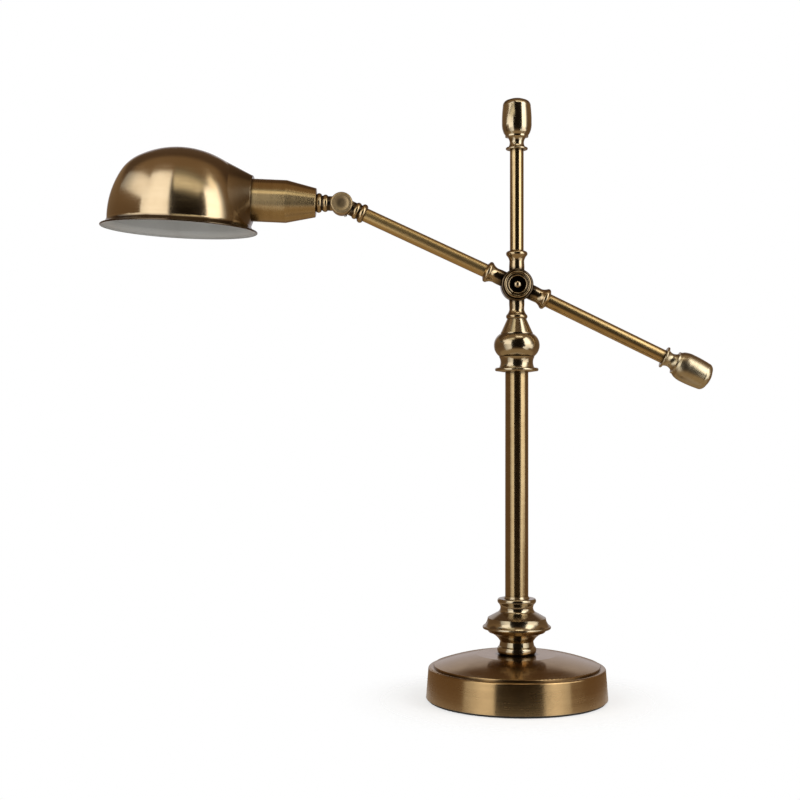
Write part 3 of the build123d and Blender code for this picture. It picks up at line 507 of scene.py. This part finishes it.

# shade: brushed outside, with painted shade darkening the corner at the spout and the lip, and white paint
# inside
shadeLook = {
    "roughness": 0.16,
    "grain": 0.65,
    "along": 1300.0,
    "lineDepth": 0.000001,
    "cloudScale": 22.0,
    # painted shade round the spout, where the cup and boom darken the shade
    "darkAt": (0.071, 0.0, 0.027),
    "darkFrom": 0.03,
    "darkTo": 0.06,
    "darkShare": 0.5,
    # painted shade along the lip, up to a height over the rim, where the wall turns into it
    "lipFrom": 0.004,
    "lipTo": 0.008,
    "lipShare": 0.85,
}
paintLook = {
    # white paint given a grey colour, which also paints in the shade inside the shade
    "colour": (0.57, 0.57, 0.55, 1),
    "stain": (0.49, 0.48, 0.45, 1),
    "stainScale": 30.0,
    "stainDetail": 4.0,
    "stainRoughness": 0.6,
    "stainRange": (0.4, 0.75),
    "stainShare": 0.6,
    "roughness": 0.45,
    "peelScale": 700.0,
    "peelDetail": 2.0,
    "peelRoughness": 0.5,
    "peelStrength": 0.25,
    "peelDepth": 0.00005,
    "peelRough": 0.1,    # what the peel adds to the paint's roughness
    "middleUp": 0.0102,    # point above the rim's centre that painted faces look towards
}


# 1 where a face of the shade looks inward, 0 outside
def paintedSide(tree, coords):
    trueNormal = add(tree, "ShaderNodeNewGeometry").outputs["True Normal"]
    facing = add(tree, "ShaderNodeVectorTransform",
                 {"vector_type": "NORMAL", "convert_from": "WORLD", "convert_to": "OBJECT"}, {0: trueNormal})
    outward = vectors(tree, "SUBTRACT", coords, rimCentre + headUp * paintLook["middleUp"])
    return maths(tree, "LESS_THAN", vectors(tree, "DOT_PRODUCT", facing.outputs[0], outward), 0.0)


def paintSkin(tree, coords):
    clouds = noise(tree, coords, paintLook["stainScale"], paintLook["stainDetail"],
                   paintLook["stainRoughness"])
    stained = ramp(tree, clouds, *paintLook["stainRange"], 0.0, paintLook["stainShare"])
    colour = blendColour(tree, stained, paintLook["colour"], paintLook["stain"])
    peel = noise(tree, coords, paintLook["peelScale"], paintLook["peelDetail"], paintLook["peelRoughness"])
    rough = maths(tree, "ADD", paintLook["roughness"], times(tree, peel, paintLook["peelRough"]))
    bump = add(tree, "ShaderNodeBump", None,
               {"Strength": paintLook["peelStrength"], "Distance": paintLook["peelDepth"], "Height": peel})
    return colour, rough, bump.outputs["Normal"]


def makeShade():
    material, tree, skin = newMaterial("shade_brass")
    look = dict(brassLook, **shadeLook)
    colour, rough, normal = brassSkin(tree, skin, shadeLine, look)
    # painted shade: the lip darkened up to a height over the rim
    height = parts(tree, lathePlace(tree, shadeLine))["Z"]
    lip = ramp(tree, height, look["lipFrom"], look["lipTo"], look["lipShare"], 0.0)
    colour = blendColour(tree, lip, colour, look["hollow"])
    coords = objectCoords(tree)
    painted = paintedSide(tree, coords)
    paintColour, paintRough, paintNormal = paintSkin(tree, coords)
    roughs = add(tree, "ShaderNodeMix", {"data_type": "FLOAT"}, {0: painted, 2: rough, 3: paintRough})
    normals = add(tree, "ShaderNodeMix", {"data_type": "VECTOR"}, {0: painted, 4: normal, 5: paintNormal})
    tree.links.new(blendColour(tree, painted, colour, paintColour), skin.inputs["Base Color"])
    tree.links.new(maths(tree, "SUBTRACT", 1.0, painted), skin.inputs["Metallic"])
    tree.links.new(roughs.outputs[0], skin.inputs["Roughness"])
    tree.links.new(normals.outputs[1], skin.inputs["Normal"])
    return material


dress(makeShade(), "shade")
print("shade done")

# plain parts: one colour broken up by clouds, hollows, rubbed edges and a fine grain
plainLook = {
    "cloudShare": 0.5,
    "hollowShare": 0.5,
    "hollowReach": 0.004,
    "edgeShare": 0.4,
    "edgeWidth": 0.0006,
    "cloudRough": 0.12,
    "grainDetail": 3.0,
    "grainRoughness": 0.6,
    "grainStrength": 0.4,
    "metal": 0.0,
    "clear": 0.0,
}
plainParts = [
    {"name": "cast_iron", "pieces": ["base_weight"],
     "colour": (0.03, 0.03, 0.032, 1), "stain": (0.05, 0.04, 0.032, 1), "edge": (0.09, 0.09, 0.09, 1),
     "roughness": 0.5, "clouds": 60.0, "grain": 600.0, "grainDepth": 0.0002, "metal": 0.6},
    {"name": "pad_rubber", "pieces": ["base_pad"],
     "colour": (0.015, 0.015, 0.015, 1), "stain": (0.03, 0.029, 0.027, 1), "edge": (0.04, 0.04, 0.04, 1),
     "roughness": 0.75, "clouds": 80.0, "grain": 1500.0, "grainDepth": 0.0001},
    {"name": "black_plastic", "pieces": ["cord_bush", "column_flex", "boom_flex", "head_flex"],
     "colour": (0.02, 0.02, 0.021, 1), "stain": (0.035, 0.034, 0.032, 1), "edge": (0.06, 0.06, 0.06, 1),
     "roughness": 0.4, "clouds": 90.0, "grain": 2200.0, "grainDepth": 0.00003},
    {"name": "plated_steel",
     "pieces": ["base_washer", "base_nut", "tie_rod", "column_nut", "swivel_nipple", "swivel_washer",
                "swivel_nut", "spring_washer", "knuckle_spring", "head_nipple", "cup_nut", "grub_screw"],
     "colour": (0.55, 0.55, 0.54, 1), "stain": (0.36, 0.34, 0.31, 1), "edge": (0.75, 0.75, 0.74, 1),
     "roughness": 0.28, "clouds": 120.0, "grain": 1800.0, "grainDepth": 0.00003, "metal": 1.0},
    {"name": "nylon", "pieces": ["swivel_bush", "lap_washer", "knuckle_washer"],
     "colour": (0.70, 0.67, 0.60, 1), "stain": (0.5, 0.45, 0.36, 1), "edge": (0.8, 0.78, 0.72, 1),
     "roughness": 0.45, "clouds": 100.0, "grain": 1500.0, "grainDepth": 0.00003},
    {"name": "porcelain", "pieces": ["lampholder"],
     "colour": (0.80, 0.78, 0.73, 1), "stain": (0.66, 0.62, 0.53, 1), "edge": (0.86, 0.85, 0.82, 1),
     "roughness": 0.14, "clouds": 50.0, "grain": 300.0, "grainDepth": 0.00004},
    {"name": "contact_brass", "pieces": ["screw_shell", "centre_contact", "shade_ring"],
     "colour": (0.72, 0.54, 0.26, 1), "stain": (0.45, 0.32, 0.15, 1), "edge": (0.85, 0.70, 0.42, 1),
     "roughness": 0.25, "clouds": 90.0, "grain": 1500.0, "grainDepth": 0.00003, "metal": 1.0},
    {"name": "bulb_metal", "pieces": ["bulb_cap"],
     "colour": (0.78, 0.78, 0.77, 1), "stain": (0.55, 0.54, 0.52, 1), "edge": (0.88, 0.88, 0.87, 1),
     "roughness": 0.22, "clouds": 110.0, "grain": 1800.0, "grainDepth": 0.00003, "metal": 1.0},
    {"name": "frosted_glass", "pieces": ["bulb_globe"],
     "colour": (0.93, 0.92, 0.88, 1), "stain": (0.88, 0.86, 0.80, 1), "edge": (0.95, 0.94, 0.90, 1),
     "roughness": 0.35, "clouds": 40.0, "grain": 900.0, "grainDepth": 0.00002, "clear": 0.75},
]


def makePlain(look):
    material, tree, skin = newMaterial(look["name"])
    place = lathePlace(tree, upright)
    aged = useGroup(tree, patina,
                    {"Vector": place, "Reach": look["hollowReach"], "Cloud Scale": look["clouds"]})
    rubbed = useGroup(tree, rubbedEdges, {"Vector": place, "Width": look["edgeWidth"]})
    colour = blendColour(tree, times(tree, aged["Clouds"], look["cloudShare"]), look["colour"], look["stain"])
    colour = blendColour(tree, times(tree, aged["Hollows"], look["hollowShare"]), colour, look["stain"])
    colour = blendColour(tree, times(tree, rubbed["Edge"], look["edgeShare"]), colour, look["edge"])
    rough = maths(tree, "ADD", look["roughness"], times(tree, aged["Clouds"], look["cloudRough"]))
    grain = noise(tree, place, look["grain"], look["grainDetail"], look["grainRoughness"])
    bump = add(tree, "ShaderNodeBump", None,
               {"Strength": look["grainStrength"], "Distance": look["grainDepth"], "Height": grain})
    tree.links.new(colour, skin.inputs["Base Color"])
    tree.links.new(rough, skin.inputs["Roughness"])
    tree.links.new(bump.outputs["Normal"], skin.inputs["Normal"])
    skin.inputs["Metallic"].default_value = look["metal"]
    skin.inputs["Transmission Weight"].default_value = look["clear"]
    return material


for plainPart in plainParts:
    dress(makePlain(dict(plainLook, **plainPart)), *plainPart["pieces"])
print("plain parts done")


def addObject(name, data):
    thing = bpy.data.objects.new(name, data)
    scene.collection.objects.link(thing)
    return thing


# camera at the photograph's angle: level, looking along +Y
cameraLook = {
    "at": (-0.1168, -1.445, 0.295),
    "lens": 65.0,
    "sensor": 36.0,
    "shiftUp": 0.0056,
    "clipEnd": 30.0,
}
camera = addObject("camera", bpy.data.cameras.new("camera"))
camera.location = cameraLook["at"]
camera.rotation_euler = (quarterTurn, 0, 0)
camera.data.lens = cameraLook["lens"]
camera.data.sensor_width = cameraLook["sensor"]
camera.data.shift_y = cameraLook["shiftUp"]
camera.data.clip_end = cameraLook["clipEnd"]
scene.camera = camera


# rays that show a thing as it looks: straight to the camera, or by metal and glass
def seenRays(tree):
    rays = add(tree, "ShaderNodeLightPath").outputs
    mirrored = maths(tree, "MAXIMUM", rays["Is Glossy Ray"], rays["Is Transmission Ray"])
    return maths(tree, "MAXIMUM", rays["Is Camera Ray"], mirrored)


# white background, dimmer as a light; inside the walls below only the camera sees it
worldLook = {"colour": (1, 1, 1, 1), "white": 1.0, "fill": 0.45}


def makeWorld():
    world = bpy.data.worlds.new("studio_white")
    scene.world = world
    world.use_nodes = True
    world.cycles.sampling_method = "NONE"    # no light samples go to what the walls hide
    tree = world.node_tree
    tree.nodes.clear()
    level = add(tree, "ShaderNodeMix", {"data_type": "FLOAT"},
                {0: seenRays(tree), 2: worldLook["fill"], 3: worldLook["white"]})
    glow = add(tree, "ShaderNodeBackground", None,
               {"Color": worldLook["colour"], "Strength": level.outputs[0]})
    tree.links.new(glow.outputs[0], add(tree, "ShaderNodeOutputWorld").inputs["Surface"])


makeWorld()

# floor: a pale round table top that fades out at its edge and glows a little, up to white
floorLook = {
    "radius": 0.19,
    "sides": 96,
    "solid": 0.09,      # radius where the fade starts
    "clear": 0.1843,    # radius where nothing is left
    "share": 0.5,
    "colour": (0.93, 0.93, 0.93, 1),
    "roughness": 0.9,
    "glowColour": (1, 1, 1, 1),
    "glow": 0.25,
    "drop": 0.0004,
}


def makeFloor():
    mesh = bpy.data.meshes.new("floor")
    shape = bmesh.new()
    bmesh.ops.create_circle(shape, cap_ends=True, radius=floorLook["radius"], segments=floorLook["sides"])
    shape.to_mesh(mesh)
    shape.free()
    floor = addObject("floor", mesh)
    floor.location.z = -floorLook["drop"]
    material, tree, skin = newMaterial("floor_paint")
    away = vectors(tree, "LENGTH", objectCoords(tree))
    fade = ramp(tree, away, floorLook["solid"], floorLook["clear"], floorLook["share"], 0.0)
    skin.inputs["Base Color"].default_value = floorLook["colour"]
    skin.inputs["Roughness"].default_value = floorLook["roughness"]
    skin.inputs["Emission Color"].default_value = floorLook["glowColour"]
    tree.links.new(times(tree, seenRays(tree), floorLook["glow"]), skin.inputs["Emission Strength"])
    tree.links.new(fade, skin.inputs["Alpha"])
    mesh.materials.append(material)


makeFloor()


def lightCloth(tree, colour, level):
    glow = add(tree, "ShaderNodeEmission", None, {"Color": colour, "Strength": level})
    tree.links.new(glow.outputs[0], add(tree, "ShaderNodeOutputMaterial").inputs["Surface"])


# studio walls round the lamp, seen only in the metal: a dark gap where the camera stands, pale cloth low
# behind and dim brown elsewhere; ranges are in the way out from the centre, by its Z for heights, tops and
# feet, by its Y for depths and by its level Y for turns
wallLook = {
    "radius": 3.4,
    "rounds": 72,
    "rows": 36,
    "centre": (-0.1, 0, 0.3),
    "bright": 1.0,
    "fill": (0.42, 0.41, 0.40, 1),    # as a light on what isn't metal or glass
    "side": (0.21, 0.135, 0.075, 1),
    "above": (0.33, 0.22, 0.12, 1),
    "aboveHeight": (0.1, 0.6),
    "dark": (0.13, 0.08, 0.045, 1),    # high behind
    "darkDepth": (0.1, 0.35),
    "darkHeight": (0.4, 0.55),
    "tableFar": (0.25, 0.16, 0.09, 1),
    "tableFarHeight": (-0.3, -0.12),
    "table": (0.46, 0.34, 0.20, 1),
    "tableHeight": (-0.65, -0.45),
    "pale": (0.56, 0.53, 0.56, 1),
    "paleTurn": (0.84, 0.94),
    "paleTop": (0.44, 0.54),
    "paleFoot": (-0.12, 0.02),
    "gap": (0.012, 0.008, 0.005, 1),
    "gapTurn": (-0.8, -0.5),
    "gapTop": (0.72, 0.86),
    "gapFoot": (-0.6, -0.3),
}


def wallColour(tree):
    coords = objectCoords(tree)
    way = parts(tree, vectors(tree, "NORMALIZE", coords))
    turn = parts(tree, vectors(tree, "NORMALIZE", flattened(tree, coords)))["Y"]

    def above(name, value):
        return ramp(tree, value, *wallLook[name])

    def below(name, value):
        return ramp(tree, value, *wallLook[name], 1.0, 0.0)

    dark = times(tree, above("darkDepth", way["Y"]), above("darkHeight", way["Z"]))
    pale = times(tree, above("paleTurn", turn), below("paleTop", way["Z"]))
    pale = times(tree, pale, above("paleFoot", way["Z"]))
    gap = times(tree, below("gapTurn", turn), above("gapFoot", way["Z"]))
    gap = times(tree, gap, below("gapTop", way["Z"]))
    colour = blendColour(tree, above("aboveHeight", way["Z"]), wallLook["side"], wallLook["above"])
    colour = blendColour(tree, dark, colour, wallLook["dark"])
    colour = blendColour(tree, below("tableFarHeight", way["Z"]), colour, wallLook["tableFar"])
    colour = blendColour(tree, below("tableHeight", way["Z"]), colour, wallLook["table"])
    colour = blendColour(tree, pale, colour, wallLook["pale"])
    colour = blendColour(tree, gap, colour, wallLook["gap"])
    return blendColour(tree, seenRays(tree), wallLook["fill"], colour)


def makeWalls():
    mesh = bpy.data.meshes.new("walls")
    shape = bmesh.new()
    bmesh.ops.create_uvsphere(shape, u_segments=wallLook["rounds"], v_segments=wallLook["rows"],
                              radius=wallLook["radius"])
    shape.to_mesh(mesh)
    shape.free()
    walls = addObject("walls", mesh)
    walls.location = wallLook["centre"]
    walls.visible_camera = False
    material, tree = emptyMaterial("wall_cloth")
    material.cycles.emission_sampling = "NONE"    # wide and dim: light samples go to the panels
    lightCloth(tree, wallColour(tree), wallLook["bright"])
    mesh.materials.append(material)


makeWalls()

# cloth panels left and right in front of the lamp, lit from behind: bright goes from the first to the second
# number over the heights of rise, and down to faded over the shares of the width in fade
panelColour = (1.0, 0.99, 0.97, 1)
panels = [
    {"name": "left_panel", "inner": (-0.43, -0.685), "outer": (-0.551, -0.196),
     "low": 0.42, "innerTop": 1.51, "outerTop": 0.82,
     "bright": (2.2, 2.2), "rise": (0.42, 0.8), "fade": (0.8, 1.0), "faded": 0.85},
    {"name": "left_low_panel", "inner": (-0.43, -0.72), "outer": (-0.555, -0.21),
     "low": -0.12, "innerTop": 0.42, "outerTop": 0.42,
     "bright": (1.5, 1.5), "rise": (0.0, 0.4), "fade": (0.4, 1.0), "faded": 0.55},
    {"name": "left_wing", "inner": (-0.551, -0.196), "outer": (-0.548, 0.04),
     "low": 0.585, "innerTop": 0.75, "outerTop": 0.65,
     "bright": (2.0, 2.0), "rise": (0.5, 0.8), "fade": (0.3, 1.0), "faded": 0.3},
    {"name": "right_panel", "inner": (0.51, -0.70), "outer": (0.60, -0.10),
     "low": 0.38, "innerTop": 1.2, "outerTop": 1.2,
     "bright": (2.5, 3.4), "rise": (0.38, 0.5), "fade": (0.65, 0.97), "faded": 0.15},
    {"name": "right_middle_panel", "inner": (0.53, -0.66), "outer": (0.60, -0.05),
     "low": 0.12, "innerTop": 0.38, "outerTop": 0.38,
     "bright": (1.9, 2.4), "rise": (0.25, 0.38), "fade": (0.8, 1.0), "faded": 0.5},
    {"name": "right_low_panel", "inner": (0.475, -0.88), "outer": (0.58, -0.31),
     "low": -0.12, "innerTop": 0.12, "outerTop": 0.12,
     "bright": (1.65, 1.65), "rise": (0.0, 0.1), "fade": (0.5, 1.0), "faded": 0.5},
]


# a flat cloth between four corners, not seen by the camera; gives its tree and the coordinates in it
def addCloth(name, corners):
    mesh = bpy.data.meshes.new(name)
    mesh.from_pydata(corners, [], [(0, 1, 2, 3)])
    cloth = addObject(name, mesh)
    cloth.visible_camera = False
    material, tree = emptyMaterial(name + "_light")
    mesh.materials.append(material)
    return tree, objectCoords(tree)


def makePanel(look):
    inner = Vector((*look["inner"], 0))
    outer = Vector((*look["outer"], 0))
    up = Vector((0, 0, 1))
    tree, coords = addCloth(look["name"], [inner + up * look["low"], outer + up * look["low"],
                                           outer + up * look["outerTop"], inner + up * look["innerTop"]])
    run = outer - inner
    fromInner = vectors(tree, "SUBTRACT", coords, inner)
    share = vectors(tree, "DOT_PRODUCT", fromInner, run / run.length_squared)
    level = ramp(tree, parts(tree, coords)["Z"], *look["rise"], *look["bright"])
    level = times(tree, level, ramp(tree, share, *look["fade"], 1.0, look["faded"]))
    lightCloth(tree, panelColour, level)


# cloths above the front and above the boom, dimmer towards their near and far edges
overheads = [
    {"name": "overhead_cloth",
     "left": -0.342, "right": -0.095, "front": -0.352, "back": -0.136, "height": 0.68,
     "colour": (1.0, 0.93, 0.72, 1), "bright": 1.5,
     "frontFade": (-0.352, -0.275), "backFade": (-0.225, -0.147), "faded": 0.15},
    {"name": "boom_cloth",
     "left": -0.04, "right": 0.17, "front": -0.23, "back": -0.10, "height": 0.8,
     "colour": (1.0, 0.93, 0.76, 1), "bright": 2.4,
     "frontFade": (-0.23, -0.20), "backFade": (-0.13, -0.10), "faded": 0.3},
]


def makeOverhead(look):
    left, right, front, back, height = (look[key] for key in ("left", "right", "front", "back", "height"))
    tree, coords = addCloth(look["name"], [(left, front, height), (right, front, height),
                                           (right, back, height), (left, back, height)])
    depth = parts(tree, coords)["Y"]
    level = times(tree, ramp(tree, depth, *look["frontFade"]),
                  ramp(tree, depth, *look["backFade"], 1.0, look["faded"]))
    lightCloth(tree, look["colour"], times(tree, level, look["bright"]))


for panel in panels:
    makePanel(panel)
for overhead in overheads:
    makeOverhead(overhead)
print("stage and lights done")
